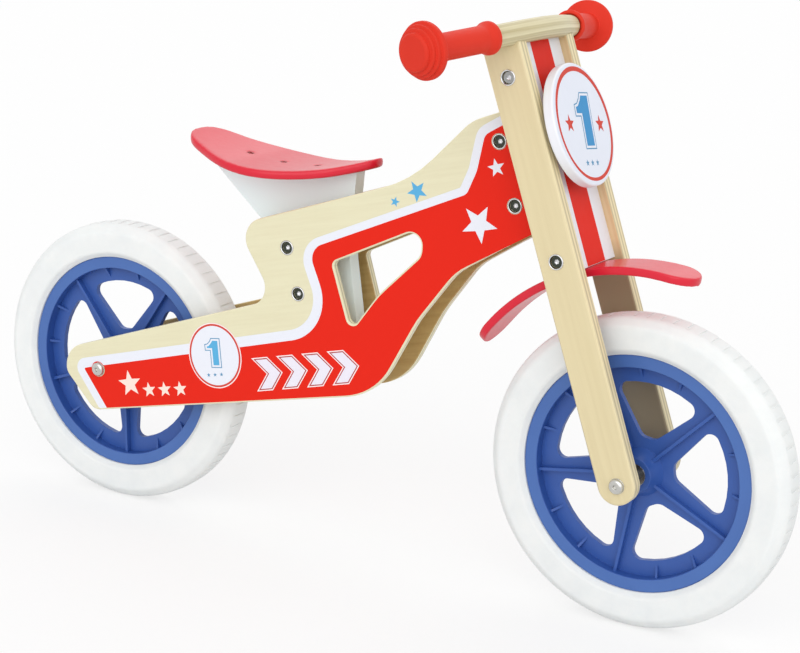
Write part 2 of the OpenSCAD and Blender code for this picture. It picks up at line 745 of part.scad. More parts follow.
module upper_fork_block() color("tan") fork_frame() difference() {
    cross_block(top_block_u);
    fork_screw_bores();
    translate([steer_x, 0, 0]) cylinder(h = 2*top_block_u, d = steer_d + 2*slip);
}
module lower_fork_block() color("tan") fork_frame() difference() {
    cross_block(guard_r);
    fork_screw_bores();
    translate([steer_x, 0, 0]) {
        cylinder(h = 2*guard_r, d = steer_d + 2*slip);
        cylinder(h = guard_r + nut_pocket, d = nut_pocket_d);
    }
    guard_screw_bores();
}
module front_board() color("white") fork_frame() difference() {
    translate([board_back, -leg_y, guard_r]) cube([board_t, fork_gap, leg_len - board_down - guard_r]);
    plate_screw_bores();
}
module fork_screws() color("silver") fork_frame() both_sides() for (p = fork_screws_at) {
    on_right(p[0], p[1], fork_y - head_sink) socket_head();
    rod(p[0], p[1], -fork_y + head_sink - eps, -fork_y + head_sink + screw_len, bolt_d);
}
module fork_cup_washers() color("gainsboro") fork_frame() both_sides()
    for (p = fork_screws_at) on_right(p[0], p[1], fork_y) cup_washer();

// --------------------------------------------------------------- steering

module on_steer(u) translate([steer_x, 0, u]) children();

module steering_bolt() color("silver") fork_frame() {
    on_steer(top_block_u + block_h + thrust_t) domed_head();
    on_steer(guard_r + 1) cylinder(h = top_block_u + block_h + thrust_t - guard_r - 1 + eps, d = steer_d);
}
module steering_nut() color("silver") fork_frame() on_steer(guard_r + nut_pocket - thrust_t)
    mirror([0, 0, 1]) difference() {
        cylinder(h = nut_t, d = nut_hex/cos(30), $fn = 6);
        translate([0, 0, -eps]) cylinder(h = nut_t + 2*eps, d = steer_d + 2*slip);
    }
// Under the bolt's head, above and below the head block, and over the nut
module steering_washers() color("silver") fork_frame() {
    on_steer(top_block_u + block_h) washer(thrust_t, 2*steer_d, steer_d + 2*slip);
    on_steer(top_block_u - thrust_t) washer(thrust_t, bush_flange_d, steer_d + 2*slip);
    on_steer(low_block_u) washer(thrust_t, bush_flange_d, steer_d + 2*slip);
    on_steer(guard_r + nut_pocket - thrust_t) washer(thrust_t, 2*steer_d, steer_d + 2*slip);
}

// ------------------------------------------------ number plate, mudguard

plate_screw_len = plate_t/2 + plate_back - board_back;

// The children at both screws of the number plate, with +Z to the rear
module at_plate_screws() {
    for (y = [-plate_screw_y, plate_screw_y])
        translate([board_back, y, plate_u]) rotate([0, -90, 0]) children();
}
module plate_screw_bores() at_plate_screws() countersunk_bore(plate_screw_len + 1);
module plate_spacer() color("tan") fork_frame() difference() {
    translate([board_front, 0, plate_u]) rotate([0, 90, 0])
        cylinder(h = plate_back - board_front, d = plate_spacer_d);
    plate_screw_bores();
}
module number_plate() color("white") fork_frame() difference() {
    translate([plate_back, 0, plate_u]) rotate([0, 90, 0]) cylinder(h = plate_t, d = plate_d, $fn = 128);
    plate_screw_bores();
}
module plate_screws() color("silver") fork_frame() at_plate_screws() countersunk(plate_screw_len);

// The middle of the mudguard's curve, turned a degrees forwards
module guard_frame(a) translate([guard_x, 0, 0]) rotate([0, a, 0]) children();

guard_tip = asin(guard_w/2/guard_r);   // angle that a round end takes up

module mudguard() color("crimson") fork_frame() difference() {
    intersection() {
        guard_frame(0) slab(-guard_w/2, guard_w/2) difference() {
            circle(r = guard_r, $fn = 180);
            circle(r = guard_r - guard_t, $fn = 180);
        }
        union() {
            guard_frame(0) slab(-far, far) polygon([[0, 0],
                polar(2*guard_r, 90 - guard_front + guard_tip), [0, 2*guard_r],
                polar(2*guard_r, 90 + guard_rear - guard_tip)]);
            for (a = [guard_front - guard_tip, guard_tip - guard_rear])
                guard_frame(a) cylinder(h = 2*guard_r, d = 1.02*guard_w);
        }
    }
    guard_screw_bores();
}
module guard_screw_bores() guard_frame(-guard_screw_a) both_sides()
    translate([0, guard_screw_y, 0])
        cylinder(h = guard_r + guard_screw_len - guard_t + 1, d = wood_screw_d + 2*slip);
module mudguard_screws() color("silver") fork_frame() guard_frame(-guard_screw_a) both_sides()
    translate([0, guard_screw_y, guard_r - guard_t - join]) {
        cylinder(h = guard_screw_len, d = wood_screw_d);
        difference() {
            translate([0, 0, -pan_t]) cylinder(h = pan_t, d = pan_d);
            translate([0, 0, -pan_t - eps]) cylinder(h = pan_t/2, d = wood_hex/cos(30), $fn = 6);
        }
    }

// -------------------------------------------------------------- handlebar

// The right swept end, from the end of its bend outwards along +Z
module swept_end() {
    translate([bar_x - bar_bend, -bar_mid, bar_u]) rotate([0, 0, -sweep])
        translate([bar_bend, 0, 0]) rotate([90, 0, 0]) children();
}
bar_arm = grip_start + grip_len - grip_floor;

module handlebar() color("burlywood") fork_frame() difference() {
    union() {
        translate([bar_x, 0, bar_u]) rotate([90, 0, 0])
            cylinder(h = 2*bar_mid + 2*join, d = bar_d, center = true);
        both_sides() {
            translate([bar_x - bar_bend, -bar_mid, bar_u]) rotate([0, 0, -sweep])
                rotate_extrude(angle = sweep) translate([bar_bend, 0]) circle(d = bar_d - 2*join);
            swept_end() translate([0, 0, -join]) cylinder(h = bar_arm + join, d = bar_d);
        }
    }
    dowel_bores();
}
module handlebar_dowels() color("tan") fork_frame() both_sides()
    translate([dowel_x, dowel_y, leg_len - dowel_down + 1])
        cylinder(h = dowel_down - 1 + dowel_up, d = dowel_d);

// Grip: collar, hand tube, guard flange and three steps down to the end
grip_profile =
    let (l = grip_len, r = grip_d/2, k = knob_d/2, t = bar_d/2 + slip)
    [[t, 0, 0], [r + 2.8, 0, 2], [r + 2.8, 5, 3], [r, 12, 12], [r, l - 19, 1.5],
     [k, l - 18, 1.5], [k, l - 13, 1.5], [k - 2.5, l - 12.2, 0.6], [k - 2.5, l - 8.7, 1],
     [k - 5.1, l - 8, 0.6], [k - 5.1, l - 4.9, 1], [k - 8.5, l - 4.2, 0.6], [k - 8.5, l, 3],
     [0, l, 0], [0, l - grip_floor, 0], [t, l - grip_floor, 0]];
module grip() fork_frame() swept_end() translate([0, 0, grip_start])
    rotate_extrude() polygon(rounded(grip_profile));
module right_grip() color("tomato") grip();
module left_grip() color("tomato") mirror([0, 1, 0]) grip();

right_side_panel();
left_side_panel();
head_block();
head_bushes();
head_bolts();
head_nuts();
head_cup_washers();
seat_post();
right_post_spacer();
left_post_spacer();
post_bolts();
post_nuts();
post_cup_washers();
seat();
seat_screws();
rear_axle_bolt();
rear_axle_nut();
rear_axle_washers();
rear_axle_spacers();
rear_hub_sleeve();
rear_inner_races();
rear_tyre();
rear_rim();
rear_bearings();
right_fork_leg();
left_fork_leg();
upper_fork_block();
lower_fork_block();
front_board();
fork_screws();
fork_cup_washers();
plate_spacer();
number_plate();
plate_screws();
mudguard();
mudguard_screws();
handlebar();
handlebar_dowels();
right_grip();
left_grip();
steering_bolt();
steering_nut();
steering_washers();
front_axle_bolt();
front_axle_nut();
front_axle_washers();
front_axle_spacers();
front_hub_sleeve();
front_inner_races();
front_tyre();
front_rim();
front_bearings();
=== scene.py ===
"""Looks of the balance bike: finishes, printed design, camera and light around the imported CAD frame.

Lengths are metres. The printed design is laid out in millimetres on the flat faces that carry it.
"""
import json
import math

import bmesh
import bpy
from mathutils import Matrix, Vector


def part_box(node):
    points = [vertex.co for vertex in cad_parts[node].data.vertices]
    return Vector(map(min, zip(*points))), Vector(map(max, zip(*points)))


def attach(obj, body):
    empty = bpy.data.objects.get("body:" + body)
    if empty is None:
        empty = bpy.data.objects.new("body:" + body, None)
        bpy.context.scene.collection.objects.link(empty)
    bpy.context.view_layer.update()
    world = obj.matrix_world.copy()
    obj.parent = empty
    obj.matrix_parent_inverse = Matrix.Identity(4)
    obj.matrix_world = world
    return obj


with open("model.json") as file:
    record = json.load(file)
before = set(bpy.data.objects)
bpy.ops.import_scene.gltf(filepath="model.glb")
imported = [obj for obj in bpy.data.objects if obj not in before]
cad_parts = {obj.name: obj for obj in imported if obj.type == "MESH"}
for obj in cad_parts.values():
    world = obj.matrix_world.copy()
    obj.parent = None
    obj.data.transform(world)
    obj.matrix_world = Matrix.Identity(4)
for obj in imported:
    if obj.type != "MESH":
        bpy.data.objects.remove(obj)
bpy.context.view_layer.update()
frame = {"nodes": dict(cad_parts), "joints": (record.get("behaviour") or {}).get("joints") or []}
nodes = frame["nodes"]
joints = {j["name"]: j for j in frame["joints"]}

MM = 0.001
SIDE = Vector((0, 1, 0))
UP = Vector((0, 0, 1))
PANEL_TAPER = math.radians(3.43)   # angle of each side panel to the middle plane
EDGE_ROUND = 1.6                   # rounding of the plywood's edges, mm

rear_axle = Vector(joints["rear_wheel_spin"]["pos_m"])
front_axle = Vector(joints["front_wheel_spin"]["pos_m"])
steer_up = Vector(joints["steering"]["axis"]).normalized()
steer_ahead = Vector((steer_up.z, 0, -steer_up.x))


# ------------------------------------------------------------------ materials

def grey(v):
    return (v, v, v, 1)


def srgb(r, g, b):
    """A colour given as 0-255 display values, as linear light."""
    def linear(v):
        v /= 255
        return v / 12.92 if v <= 0.04045 else ((v + 0.055) / 1.055) ** 2.4
    return (linear(r), linear(g), linear(b), 1)


def scaled(colour, red, green=None, blue=None):
    """The colour with its channels multiplied: by one factor, or by one each."""
    factors = (red, red if green is None else green, red if blue is None else blue)
    return (*(min(1, f * c) for f, c in zip(factors, colour)), 1)


class Nodes:
    """A material's node tree, with short ways to add and join nodes."""

    def __init__(self, name, **sockets):
        self.material = bpy.data.materials.new(name)
        self.material.use_nodes = True
        self.tree = self.material.node_tree
        self.shader = self.tree.nodes["Principled BSDF"]
        for socket, value in sockets.items():
            self.shader.inputs[socket.replace("_", " ")].default_value = value

    def add(self, kind, settings=None, **inputs):
        node = self.tree.nodes.new("ShaderNode" + kind)
        for key, value in (settings or {}).items():
            setattr(node, key, value)
        for key, value in inputs.items():
            self.put(value, node.inputs[key.replace("_", " ")])
        return node

    def put(self, value, socket):
        if isinstance(value, bpy.types.NodeSocket):
            self.tree.links.new(value, socket)
        else:
            socket.default_value = value

    def math(self, operation, *values):
        node = self.add("Math", {"operation": operation})
        for value, socket in zip(values, node.inputs):
            self.put(value, socket)
        return node.outputs[0]

    def mix(self, factor, a, b):
        node = self.add("Mix", {"data_type": "RGBA"})
        for value, name in ((factor, "Factor_Float"), (a, "A_Color"), (b, "B_Color")):
            self.put(value, next(s for s in node.inputs if s.identifier == name))
        return next(s for s in node.outputs if s.identifier == "Result_Color")

    def ramp(self, factor, *stops):
        """stops: a place on the ramp and the grey there, from 0 to 1."""
        node = self.add("ValToRGB", Fac=factor)
        elements = node.color_ramp.elements
        while len(elements) < len(stops):
            elements.new(0.5)
        for element, (position, value) in zip(elements, stops):
            element.position = position
            element.color = grey(value)
        return node.outputs["Color"]

    def place(self, scale=(1, 1, 1), turn=(0, 0, 0), layer=None):
        """Coordinates of the piece, or its own layer of them, in metres, turned and then scaled."""
        if layer:
            where = self.add("Attribute", {"attribute_name": layer}).outputs["Vector"]
        else:
            where = self.add("TexCoord").outputs["Object"]
        turned = self.add("Mapping", Vector=where, Rotation=turn).outputs[0]
        return self.add("Mapping", Vector=turned, Scale=scale).outputs[0]

    def noise(self, where, scale=1.0, detail=3.0, rough=0.55):
        node = self.add("TexNoise", Vector=where, Scale=scale, Detail=detail, Roughness=rough)
        return node.outputs["Fac"]

    def bump(self, height, strength, distance):
        node = self.add("Bump", Height=height, Strength=strength, Distance=distance)
        self.put(node.outputs[0], self.shader.inputs["Normal"])

    def colour(self, value):
        self.put(value, self.shader.inputs["Base Color"])

    def rough(self, noise, spread, least):
        """Roughness from least up to least + spread."""
        self.put(self.math("MULTIPLY_ADD", noise, spread, least), self.shader.inputs["Roughness"])


FLECK = (60, 1500, 1500)      # scale of birch's short flecks, along and across the grain


def wood(name, turn, pale, dark, plies=0, ply_turn=None, streak=(7, 210), clouds=26, layer=None,
         darker_below=None):
    """Lacquered birch: fine grain along X of the turned frame.

    plies: pitch of the glue lines on the faces that lie across Y of the frame turned by ply_turn, m
    streak: scale of the grain along and across it; clouds: scale of its clouding across it
    layer: attribute to take the place from
    darker_below: painted shade: the wood darkens from the first to the second of these places along the
    grain, m
    """
    n = Nodes(name, Coat_Weight=0.15, Coat_Roughness=0.28, Specular_IOR_Level=0.3)
    grain = n.noise(n.place((streak[0], streak[1], streak[1]), turn, layer), 1.0, 4, 0.6)
    cloud = n.noise(n.place((4, clouds, clouds), turn, layer), 1.0, 2, 0.5)
    fleck = n.noise(n.place(FLECK, turn, layer), 1.0, 2, 0.5)
    face = n.mix(n.ramp(grain, (0.36, 0), (0.70, 1)), pale, dark)
    face = n.mix(n.ramp(cloud, (0.40, 0), (0.75, 0.35)), face, dark)
    face = n.mix(n.ramp(fleck, (0.62, 0), (0.75, 0.12)), face, scaled(dark, 0.72))
    # Painted shade: the wood darkens below the mudguard, where the legs' inner faces lie in shade
    if darker_below:
        along = n.add("SeparateXYZ", Vector=n.place(turn=turn)).outputs["X"]
        start, end = darker_below
        depth = n.math("MULTIPLY_ADD", along, 1 / (end - start), -start / (end - start))
        face = n.mix(n.ramp(depth, (0.0, 0), (1.0, 1)), face, scaled(dark, 0.50, 0.56, 0.62))
    if plies:
        normal = n.add("TexCoord").outputs["Normal"]
        flat = n.add("VectorRotate", {"rotation_type": "EULER_XYZ"}, Vector=normal, Rotation=ply_turn)
        across = n.add("SeparateXYZ", Vector=flat.outputs[0]).outputs["Y"]
        on_edge = n.math("LESS_THAN", n.math("ABSOLUTE", across), 0.75)
        depth = n.add("SeparateXYZ", Vector=n.place(turn=ply_turn)).outputs["Y"]
        band = n.math("FRACT", n.math("MULTIPLY", depth, 1 / plies))
        wave = n.ramp(band, (0.0, 0), (0.40, 0.05), (0.55, 0.9), (0.85, 0.9), (1.0, 0))
        face = n.mix(on_edge, face, n.mix(wave, scaled(pale, 1.12), scaled(dark, 0.80)))
    n.colour(face)
    n.rough(grain, 0.15, 0.36)
    n.bump(fleck, 0.08, 0.0003)
    return n.material


def paint(name, colour, gloss, coat, coat_rough=0.12):
    """Sprayed paint on wood: an even colour with a trace of orange peel."""
    n = Nodes(name, Coat_Weight=coat, Coat_Roughness=coat_rough, Specular_IOR_Level=0.3)
    where = n.place()
    thin = (*(min(1, 1.04 * c + 0.004) for c in colour[:3]), 1)
    n.colour(n.mix(n.ramp(n.noise(where, 18, 3, 0.5), (0.4, 0), (0.7, 0.5)), colour, thin))
    n.rough(n.noise(where, 160, 2), 0.08, gloss)
    n.bump(n.noise(where, 260, 2), 0.02, 0.0003)
    return n.material


def printed(name, colour):
    """Ink of the printed design, under the panel's satin lacquer."""
    n = Nodes(name, Specular_IOR_Level=0.2)
    where = n.place()
    dots = n.ramp(n.noise(where, 2600, 2), (0.45, 0), (0.65, 0.5))
    n.colour(n.mix(dots, colour, scaled(colour, 0.94)))
    n.rough(n.noise(where, 120, 2), 0.10, 0.46)
    n.bump(n.noise(n.place(FLECK), 1, 2), 0.03, 0.0003)
    return n.material


def moulded(name, colour, deep, rough, grain=2200.0, strength=0.08, **more):
    """Injection-moulded plastic or rubber with a fine spark-eroded grain."""
    n = Nodes(name, **more)
    where = n.place()
    n.colour(n.mix(n.ramp(n.noise(where, 14, 3), (0.35, 0), (0.75, 0.6)), colour, deep))
    n.rough(n.noise(where, 90, 3), 0.14, rough)
    n.bump(n.noise(where, grain, 2), strength, 0.0002)
    return n.material


def foam(name, colour, deep):
    """Closed-cell white foam with faint clouding and fine pores."""
    n = Nodes(name, Subsurface_Weight=0.15, Subsurface_Scale=0.01, Specular_IOR_Level=0.3)
    n.shader.inputs["Subsurface Radius"].default_value = (1.0, 0.9, 0.85)
    where = n.place()
    n.colour(n.mix(n.ramp(n.noise(where, 38, 4, 0.6), (0.38, 0), (0.7, 1)), colour, deep))
    n.rough(n.noise(where, 300, 2), 0.15, 0.60)
    pores = n.add("TexVoronoi", Vector=where, Scale=700.0).outputs["Distance"]
    n.bump(n.math("ADD", pores, n.noise(where, 160, 3)), 0.10, 0.0004)
    return n.material


def metal(name, colour, rough):
    """Plated steel with fine turning marks and slight staining."""
    n = Nodes(name, Metallic=1.0)
    where = n.place()
    n.colour(n.mix(n.noise(where, 260, 3), colour, scaled(colour, 0.82)))
    n.rough(n.noise(where, 500, 3), 0.16, rough)
    n.bump(n.noise(n.place((1, 9, 1)), 900, 2), 0.05, 0.0001)
    return n.material


ALONG_PANEL = (0, 0.25, 0)
ALONG_LEG = (0, math.atan2(steer_up.z, steer_up.x), 0)
PANEL_PLY, LEG_PLY = 0.0042, 0.0055       # pitch of the glue lines
birch_pale, birch_dark = srgb(230, 225, 192), srgb(225, 219, 185)
tan_pale, tan_dark = srgb(226, 212, 171), srgb(219, 204, 162)

# Painted shade: the legs' inner faces are darker below the mudguard, where they lie in shade between the
# legs
guard_height = max(v.co.dot(steer_up) for v in nodes["mudguard_screws"].data.vertices)
UNDER_GUARD = (guard_height + 0.005, guard_height - 0.025)

MATERIALS = {
    "right_panel_ply": wood("right_panel_ply", ALONG_PANEL, birch_pale, birch_dark, PANEL_PLY,
                            (0, 0, -PANEL_TAPER)),
    "left_panel_ply": wood("left_panel_ply", ALONG_PANEL, birch_pale, birch_dark, PANEL_PLY,
                           (0, 0, PANEL_TAPER)),
    # The panels' inner faces: a darker, browner copy of the panels' birch, painted shade of the faces
    # between the panels
    "inner_ply_painted_shade": wood("inner_ply_painted_shade", ALONG_PANEL, srgb(202, 174, 116), srgb(186, 154, 98)),
    "leg_ply": wood("leg_ply", ALONG_LEG, tan_pale, tan_dark, LEG_PLY, (0, 0, 0)),
    # The legs' inner faces: a darker copy of the legs' birch, painted shade of the faces between the
    # legs
    "inner_leg_ply_painted_shade": wood("inner_leg_ply_painted_shade", ALONG_LEG, srgb(226, 200, 156), srgb(214, 182, 136),
                          darker_below=UNDER_GUARD),
    "birch": wood("birch", ALONG_LEG, tan_pale, tan_dark),
    "bar_birch": wood("bar_birch", (0, 0, 0), srgb(232, 224, 188), srgb(182, 168, 124),
                      streak=(2.5, 300), clouds=90, layer="along_bar"),
    "white_paint": paint("white_paint", srgb(236, 238, 244), 0.30, 0.35),
    "plate_white": paint("plate_white", srgb(229, 234, 246), 0.34, 0.2),
    "post_white": paint("post_white", srgb(238, 254, 255), 0.34, 0.25),
    "seat_red": paint("seat_red", srgb(216, 20, 48), 0.33, 0.30, 0.10),
    # The seat's screw heads: the seat's red paint over them, darker as painted shade of their recesses
    "screw_red": paint("screw_red", srgb(150, 24, 30), 0.4, 0.1),
    "grip_rubber": moulded("grip_rubber", srgb(223, 52, 31), srgb(212, 43, 24), 0.5, 2600, 0.12,
                           Specular_IOR_Level=0.25),
    # The rims' blue plastic, set to the darker tone its web shows in shade: partly painted shade; the
    # paler copy for the outer ring is painted reflection
    "blue_plastic": moulded("blue_plastic", srgb(51, 90, 166), srgb(44, 80, 155), 0.36),
    "ring_painted_reflection": moulded("ring_painted_reflection", srgb(70, 108, 176), srgb(62, 98, 166), 0.40),
    "black_plastic": moulded("black_plastic", srgb(34, 34, 38), srgb(24, 24, 28), 0.45),
    "black_seal": moulded("black_seal", srgb(24, 24, 26), srgb(16, 16, 18), 0.5),
    "tyre_foam": foam("tyre_foam", srgb(238, 240, 239), srgb(232, 235, 235)),
    "zinc_steel": metal("zinc_steel", srgb(206, 205, 200), 0.17),
    "screw_steel": metal("screw_steel", srgb(168, 170, 168), 0.25),
    "bearing_steel": metal("bearing_steel", srgb(120, 120, 124), 0.30),
    "chrome": metal("chrome", srgb(226, 226, 228), 0.10),
    "dark_steel": metal("dark_steel", srgb(72, 76, 68), 0.24),
    "print_red": printed("print_red", srgb(229, 32, 8)),
    "print_white": printed("print_white", srgb(234, 237, 246)),
    "print_blue": printed("print_blue", srgb(92, 176, 222)),
    "plate_blue": printed("plate_blue", srgb(66, 148, 204)),
    "outline_blue": printed("outline_blue", srgb(90, 150, 190)),
    "ring_red": printed("ring_red", srgb(212, 70, 56)),
    "pale_red": printed("pale_red", srgb(252, 236, 236)),
    "deep_red": printed("deep_red", srgb(176, 62, 62)),
    "lilac_white": printed("lilac_white", srgb(236, 232, 244)),
    "cream": printed("cream", srgb(253, 228, 216)),
}

NODE_MATERIALS = {
    "right_panel_ply": ["right_side_panel"],
    "left_panel_ply": ["left_side_panel"],
    "leg_ply": ["right_fork_leg", "left_fork_leg"],
    "birch": ["head_block", "right_post_spacer", "left_post_spacer", "upper_fork_block",
              "lower_fork_block", "plate_spacer", "handlebar_dowels"],
    "bar_birch": ["handlebar"],
    "white_paint": ["front_board", "number_plate"],
    "post_white": ["seat_post"],
    "seat_red": ["seat", "mudguard"],
    "screw_red": ["seat_screws"],
    "grip_rubber": ["right_grip", "left_grip"],
    "blue_plastic": ["rear_rim", "front_rim"],
    "black_plastic": ["head_bushes", "rear_axle_spacers", "front_axle_spacers"],
    "tyre_foam": ["rear_tyre", "front_tyre"],
    "zinc_steel": ["rear_axle_bolt", "front_axle_bolt", "rear_axle_nut", "front_axle_nut",
                   "rear_axle_washers", "front_axle_washers", "steering_bolt", "steering_nut",
                   "steering_washers", "plate_screws", "mudguard_screws",
                   "rear_hub_sleeve", "front_hub_sleeve"],
    "bearing_steel": ["rear_inner_races", "front_inner_races"],
    "black_seal": ["rear_bearings", "front_bearings"],
    "chrome": ["head_cup_washers", "post_cup_washers", "fork_cup_washers"],
    "dark_steel": ["head_bolts", "head_nuts", "post_bolts", "post_nuts", "fork_screws"],
}


# ----------------------------------------------------------- the nodes' surfaces

SHARP = math.radians(35)          # edges over this angle are rounded
# Rounding of each node's sharp edges, mm; SMALL_ROUND where a node isn't named
SMALL_ROUND = 0.3
ROUNDING = {
    "right_side_panel": EDGE_ROUND, "left_side_panel": EDGE_ROUND,
    "right_fork_leg": 2.2, "left_fork_leg": 2.2, "number_plate": 2.0, "seat_post": 1.2,
    "front_board": 0.8, "rear_rim": 1.0, "front_rim": 1.0,
    "right_grip": 0.0, "left_grip": 0.0, "handlebar": 0.0,
}
# Nodes whose bores keep their edges: only edge loops at least this wide are rounded, mm
OUTLINE_ONLY = {"right_side_panel": 30, "left_side_panel": 30, "right_fork_leg": 24,
                "left_fork_leg": 24, "number_plate": 30}
# Bent plywood whose edges are sanded round all over: cell size in mm and smoothing passes
SANDED = {"seat": (0.8, 60), "mudguard": (0.7, 26)}
GROOVE_REACH = 0.008              # how far the legs' grooves reach below the handlebar


def sharp_loops(mesh):
    """The mesh's sharp edges, as connected groups of pairs of corners, and the function that gives a
    vertex's corner: its place in micrometres, which the doubled vertices share."""
    def key(v):
        return tuple(round(c * 1e6) for c in mesh.vertices[v].co)
    sides = {}
    for polygon in mesh.polygons:
        corners = [key(v) for v in polygon.vertices]
        for a, b in zip(corners, corners[1:] + corners[:1]):
            if a != b:
                sides.setdefault(frozenset((a, b)), []).append(polygon.normal.copy())
    sharp = [e for e, normals in sides.items()
             if len(normals) == 2 and normals[0].angle(normals[1], 0) > SHARP]
    parent = {}

    def root(k):
        parent.setdefault(k, k)
        while parent[k] != k:
            parent[k] = parent[parent[k]]
            k = parent[k]
        return k
    for a, b in map(tuple, sharp):
        parent[root(a)] = root(b)
    groups = {}
    for e in sharp:
        groups.setdefault(root(next(iter(e))), []).append(e)
    return list(groups.values()), key


def mark_outline(piece, least):
    """Bevel weight 1 on the sharp loops whose extent is at least this, in millimetres, apart from
    the groove round the handlebar."""
    groove_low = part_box("handlebar")[0].z - GROOVE_REACH
    mesh = piece.data
    groups, key = sharp_loops(mesh)
    wanted = set()
    for group in groups:
        points = [k for e in group for k in e]
        extent = max(max(p[i] for p in points) - min(p[i] for p in points) for i in range(3))
        if extent * 1e-3 >= least:
            wanted.update(group)
    weight = mesh.attributes.new("bevel_weight_edge", "FLOAT", "EDGE")
    for edge in mesh.edges:
        in_groove = piece.name.endswith("fork_leg") and all(
            mesh.vertices[v].co.z > groove_low for v in edge.vertices)
        if frozenset(key(v) for v in edge.vertices) in wanted and not in_groove:
            weight.data[edge.index].value = 1.0


def finish_node(name, material):
    """Gives a CAD node its material, rounds its sharp edges and smooths its curves."""
    piece = nodes[name]
    piece.data.materials.clear()
    piece.data.materials.append(MATERIALS[material])
    weld = piece.modifiers.new("weld", "WELD")
    weld.merge_threshold = 0.00001
    if name in SANDED:
        cell, passes = SANDED[name]
        cells = piece.modifiers.new("cells", "REMESH")
        cells.mode = "VOXEL"
        cells.voxel_size = cell * MM
        cells.use_smooth_shade = True
        sanded = piece.modifiers.new("sanded", "SMOOTH")
        sanded.factor = 0.8
        sanded.iterations = passes
        return
    width = ROUNDING.get(name, SMALL_ROUND)
    if width:
        flat = piece.modifiers.new("flat", "DECIMATE")
        flat.decimate_type = "DISSOLVE"
        flat.angle_limit = math.radians(0.6)
        bevel = piece.modifiers.new("round", "BEVEL")
        bevel.width = width * MM
        bevel.segments = 5 if width > 1 else 2
        bevel.miter_outer = "MITER_ARC"
        bevel.limit_method = "ANGLE"
        bevel.angle_limit = SHARP
        if name in OUTLINE_ONLY:
            mark_outline(piece, OUTLINE_ONLY[name])
            bevel.limit_method = "WEIGHT"
            bevel.use_clamp_overlap = False
    for polygon in piece.data.polygons:
        polygon.use_smooth = True
    smooth = piece.modifiers.new("smooth", "WEIGHTED_NORMAL")
    smooth.keep_sharp = True


def second_finish(name, material, chosen):
    """Gives a second material to the polygons that chosen(centre, normal) picks."""
    mesh = nodes[name].data
    mesh.materials.append(MATERIALS[material])
    for polygon in mesh.polygons:
        if chosen(polygon.center, polygon.normal):
            polygon.material_index = len(mesh.materials) - 1


# The handlebar's middle line: half its straight middle, the radius of its two bends, the angle by
# which its ends sweep back, and how far it lies before the line from the front axle up the fork
BAR_STRAIGHT, BAR_BEND, BAR_SWEEP, BAR_AHEAD = 4.7 * MM, 150 * MM, math.radians(13.6), 17.5 * MM


def lay_grain_along_bar():
    """Stores, for each of the handlebar's vertices, the distance along its swept middle line and the
    place across it, so that the grain follows the bends."""
    mesh = nodes["handlebar"].data
    layer = mesh.attributes.new("along_bar", "FLOAT_VECTOR", "POINT")
    for v in mesh.vertices:
        from_axle = v.co - front_axle
        x, y = from_axle.dot(steer_ahead), abs(v.co.y)
        along, across = y, x - BAR_AHEAD
        if y > BAR_STRAIGHT:
            dx, dy = x - (BAR_AHEAD - BAR_BEND), y - BAR_STRAIGHT
            angle = min(math.atan2(dy, dx), BAR_SWEEP)
            past = dy * math.cos(BAR_SWEEP) - dx * math.sin(BAR_SWEEP) if angle == BAR_SWEEP else 0
            along = BAR_STRAIGHT + BAR_BEND * angle + past
            across = dx * math.cos(angle) + dy * math.sin(angle) - BAR_BEND
        layer.data[v.index].vector = (math.copysign(along, v.co.y), across, from_axle.dot(steer_up))


BOLT_REACH = 0.012                # vertices of one bolt lie this near each other, seen from the side


def bolt_axes(name):
    """The axis of each separate bolt of a node, as its x and z."""
    spots = {}
    for v in nodes[name].data.vertices:
        place = (v.co.x, v.co.z)
        near = next((k for k in spots if math.dist(k, place) < BOLT_REACH), place)
        spots.setdefault(near, []).append(place)
    return [tuple((min(axis) + max(axis)) / 2 for axis in zip(*found)) for found in spots.values()]


FACING = 0.95                     # least cosine between a face's normal and the side it looks to
RIM_RING_R = 0.1012               # painted reflection: the rims' ring faces are paler outside this radius
BEARING_SEAL_R = 0.0092           # outside this radius a bearing shows its steel ring
SOCKET_R = 0.0022                 # half width of the bolts' hexagon sockets
UPPER_SCREW_REACH = 0.02          # the upper fork screws lie within this of the topmost

for material, names in NODE_MATERIALS.items():
    for name in names:
        finish_node(name, material)

for side, sign in (("right", 1), ("left", -1)):
    # painted shade: the panels' faces towards the middle get a darker copy of their birch
    second_finish(side + "_side_panel", "inner_ply_painted_shade", lambda c, n: n.y * sign > FACING)
    # painted shade: the legs' faces towards the middle get a darker copy of their birch
    second_finish(side + "_fork_leg", "inner_leg_ply_painted_shade", lambda c, n: n.y * sign > FACING)
top_of_screws = max(v.co.z for v in nodes["fork_screws"].data.vertices)
second_finish("fork_screws", "screw_steel", lambda c, n: c.z > top_of_screws - UPPER_SCREW_REACH)
# Painted highlight: the hexagon sockets of the dark screw heads get chrome, for the bright glint in
# their middle
for name in ("head_bolts", "post_bolts", "fork_screws"):
    axes = bolt_axes(name)
    second_finish(name, "chrome", lambda c, n: min(math.dist((c.x, c.z), a) for a in axes) < SOCKET_R)
lay_grain_along_bar()
for end, axle in (("rear", rear_axle), ("front", front_axle)):
    # painted reflection: the rims' ring faces get a paler copy of their blue
    second_finish(end + "_rim", "ring_painted_reflection", lambda c, n: abs(n.y) > 0.9 and math.hypot(
        c.x - axle.x, c.z - axle.z) > RIM_RING_R)
    second_finish(end + "_bearings", "chrome", lambda c, n: math.hypot(
        c.x - axle.x, c.z - axle.z) > BEARING_SEAL_R)
second_finish("number_plate", "plate_white", lambda c, n: n.dot(steer_ahead) > FACING)


# -------------------------------------------------- outlines, in millimetres

